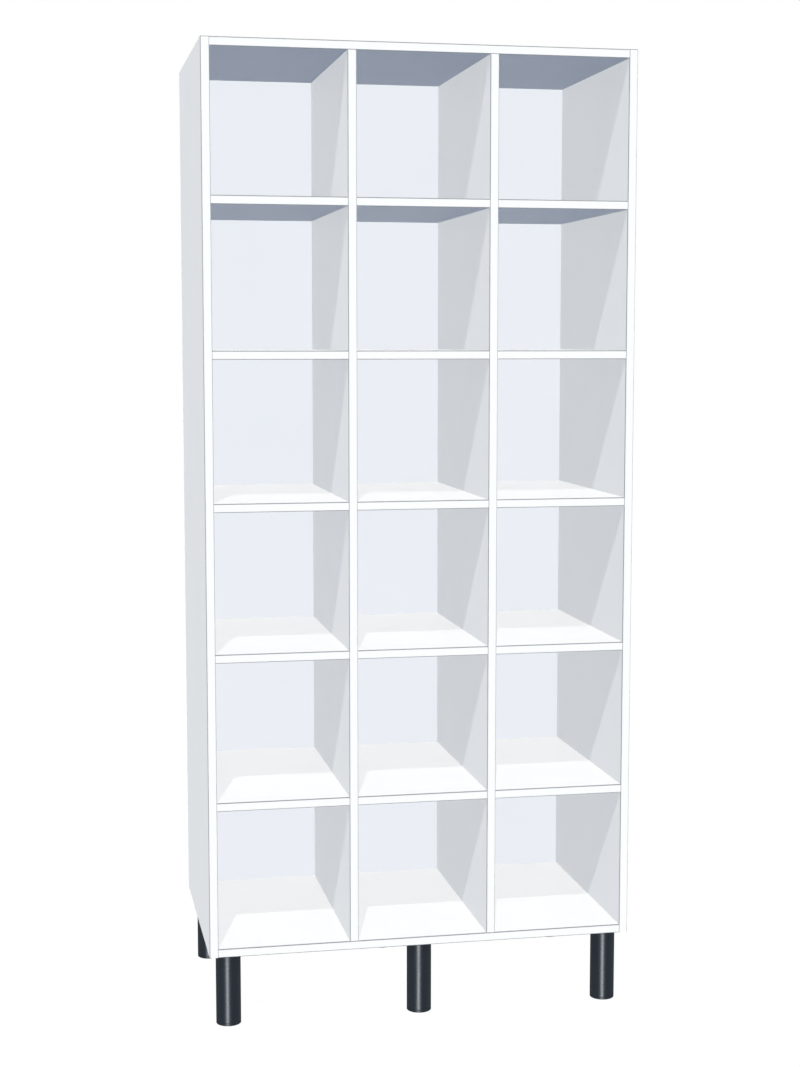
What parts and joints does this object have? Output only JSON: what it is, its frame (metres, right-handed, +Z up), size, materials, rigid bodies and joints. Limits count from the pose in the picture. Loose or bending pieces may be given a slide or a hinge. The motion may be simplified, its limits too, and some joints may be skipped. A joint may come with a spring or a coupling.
{
  "type": "open-front locker unit",
  "caption": "Tall open-front locker unit of white faced board, divided into rows and columns of open compartments, on round black tubular legs with screw levelling feet.",
  "frame": {"origin": "on the floor under the middle of the unit, at the centre of its footprint", "axes": "+Z up, +X to the viewer's right when facing the open front, and the open front faces -Y"},
  "size_m": [0.9, 0.52, 2.02],
  "materials": {
    "white_board": "18 mm particle board with white melamine facing, satin",
    "back_board": "6 mm fibreboard with white facing, satin",
    "edge_band": "2 mm white plastic edge band with rounded edges",
    "beech_dowel": "beech, fluted and glued",
    "zinc_screw": "zinc plated",
    "black_steel": "black powder coat, fine texture",
    "black_nylon": "moulded nylon with a steel thread",
    "zinc_stud": "zinc plated, threaded",
    "foot_nylon": "black moulded nylon"
  },
  "bodies": {
    "locker": {"side_left": "white_board", "side_right": "white_board", "top_panel": "white_board", "bottom_panel": "white_board", "divider_left": "white_board", "divider_right": "white_board", "shelf_left_1": "white_board", "shelf_left_2": "white_board", "shelf_left_3": "white_board", "shelf_left_4": "white_board", "shelf_left_5": "white_board", "shelf_middle_1": "white_board", "shelf_middle_2": "white_board", "shelf_middle_3": "white_board", "shelf_middle_4": "white_board", "shelf_middle_5": "white_board", "shelf_right_1": "white_board", "shelf_right_2": "white_board", "shelf_right_3": "white_board", "shelf_right_4": "white_board", "shelf_right_5": "white_board", "back_panel": "back_board", "edge_bands_sides": "edge_band", "edge_bands_top_bottom": "edge_band", "edge_bands_dividers": "edge_band", "edge_bands_shelves": "edge_band", "end_dowels": "beech_dowel", "through_dowels": "beech_dowel", "back_screws": "zinc_screw", "leg_plate_screws": "zinc_screw", "leg_front_left": "black_steel", "leg_front_middle": "black_steel", "leg_front_right": "black_steel", "leg_rear_left": "black_steel", "leg_rear_middle": "black_steel", "leg_rear_right": "black_steel", "threaded_insert_front_left": "black_nylon", "threaded_insert_front_middle": "black_nylon", "threaded_insert_front_right": "black_nylon", "threaded_insert_rear_left": "black_nylon", "threaded_insert_rear_middle": "black_nylon", "threaded_insert_rear_right": "black_nylon"},
    "foot_front_left": {"foot_pad_front_left": "foot_nylon"},
    "stud_front_left": {"levelling_stud_front_left": "zinc_stud"},
    "foot_front_middle": {"foot_pad_front_middle": "foot_nylon"},
    "stud_front_middle": {"levelling_stud_front_middle": "zinc_stud"},
    "foot_front_right": {"foot_pad_front_right": "foot_nylon"},
    "stud_front_right": {"levelling_stud_front_right": "zinc_stud"},
    "foot_rear_left": {"foot_pad_rear_left": "foot_nylon"},
    "stud_rear_left": {"levelling_stud_rear_left": "zinc_stud"},
    "foot_rear_middle": {"foot_pad_rear_middle": "foot_nylon"},
    "stud_rear_middle": {"levelling_stud_rear_middle": "zinc_stud"},
    "foot_rear_right": {"foot_pad_rear_right": "foot_nylon"},
    "stud_rear_right": {"levelling_stud_rear_right": "zinc_stud"}
  },
  "joints": [
    {"name": "foot_front_left_height", "type": "slide", "parent": "locker", "child": "foot_front_left", "axis": [0, 0, -1], "range_m": [0, 0.015]},
    {"name": "stud_front_left_turn", "type": "hinge", "parent": "foot_front_left", "child": "stud_front_left", "pos_m": [-0.408, -0.218, 0.03], "axis": [0, 0, -1], "range_deg": [0, 3600]},
    {"name": "foot_front_middle_height", "type": "slide", "parent": "locker", "child": "foot_front_middle", "axis": [0, 0, -1], "range_m": [0, 0.015]},
    {"name": "stud_front_middle_turn", "type": "hinge", "parent": "foot_front_middle", "child": "stud_front_middle", "pos_m": [0, -0.218, 0.03], "axis": [0, 0, -1], "range_deg": [0, 3600]},
    {"name": "foot_front_right_height", "type": "slide", "parent": "locker", "child": "foot_front_right", "axis": [0, 0, -1], "range_m": [0, 0.015]},
    {"name": "stud_front_right_turn", "type": "hinge", "parent": "foot_front_right", "child": "stud_front_right", "pos_m": [0.408, -0.218, 0.03], "axis": [0, 0, -1], "range_deg": [0, 3600]},
    {"name": "foot_rear_left_height", "type": "slide", "parent": "locker", "child": "foot_rear_left", "axis": [0, 0, -1], "range_m": [0, 0.015]},
    {"name": "stud_rear_left_turn", "type": "hinge", "parent": "foot_rear_left", "child": "stud_rear_left", "pos_m": [-0.408, 0.218, 0.03], "axis": [0, 0, -1], "range_deg": [0, 3600]},
    {"name": "foot_rear_middle_height", "type": "slide", "parent": "locker", "child": "foot_rear_middle", "axis": [0, 0, -1], "range_m": [0, 0.015]},
    {"name": "stud_rear_middle_turn", "type": "hinge", "parent": "foot_rear_middle", "child": "stud_rear_middle", "pos_m": [0, 0.218, 0.03], "axis": [0, 0, -1], "range_deg": [0, 3600]},
    {"name": "foot_rear_right_height", "type": "slide", "parent": "locker", "child": "foot_rear_right", "axis": [0, 0, -1], "range_m": [0, 0.015]},
    {"name": "stud_rear_right_turn", "type": "hinge", "parent": "foot_rear_right", "child": "stud_rear_right", "pos_m": [0.408, 0.218, 0.03], "axis": [0, 0, -1], "range_deg": [0, 3600]}
  ],
  "couplings": [
    {"joint": "stud_front_left_turn", "follows": "foot_front_left_height", "rad_per_m": 4188.8},
    {"joint": "stud_front_middle_turn", "follows": "foot_front_middle_height", "rad_per_m": 4188.8},
    {"joint": "stud_front_right_turn", "follows": "foot_front_right_height", "rad_per_m": 4188.8},
    {"joint": "stud_rear_left_turn", "follows": "foot_rear_left_height", "rad_per_m": 4188.8},
    {"joint": "stud_rear_middle_turn", "follows": "foot_rear_middle_height", "rad_per_m": 4188.8},
    {"joint": "stud_rear_right_turn", "follows": "foot_rear_right_height", "rad_per_m": 4188.8}
  ]
}
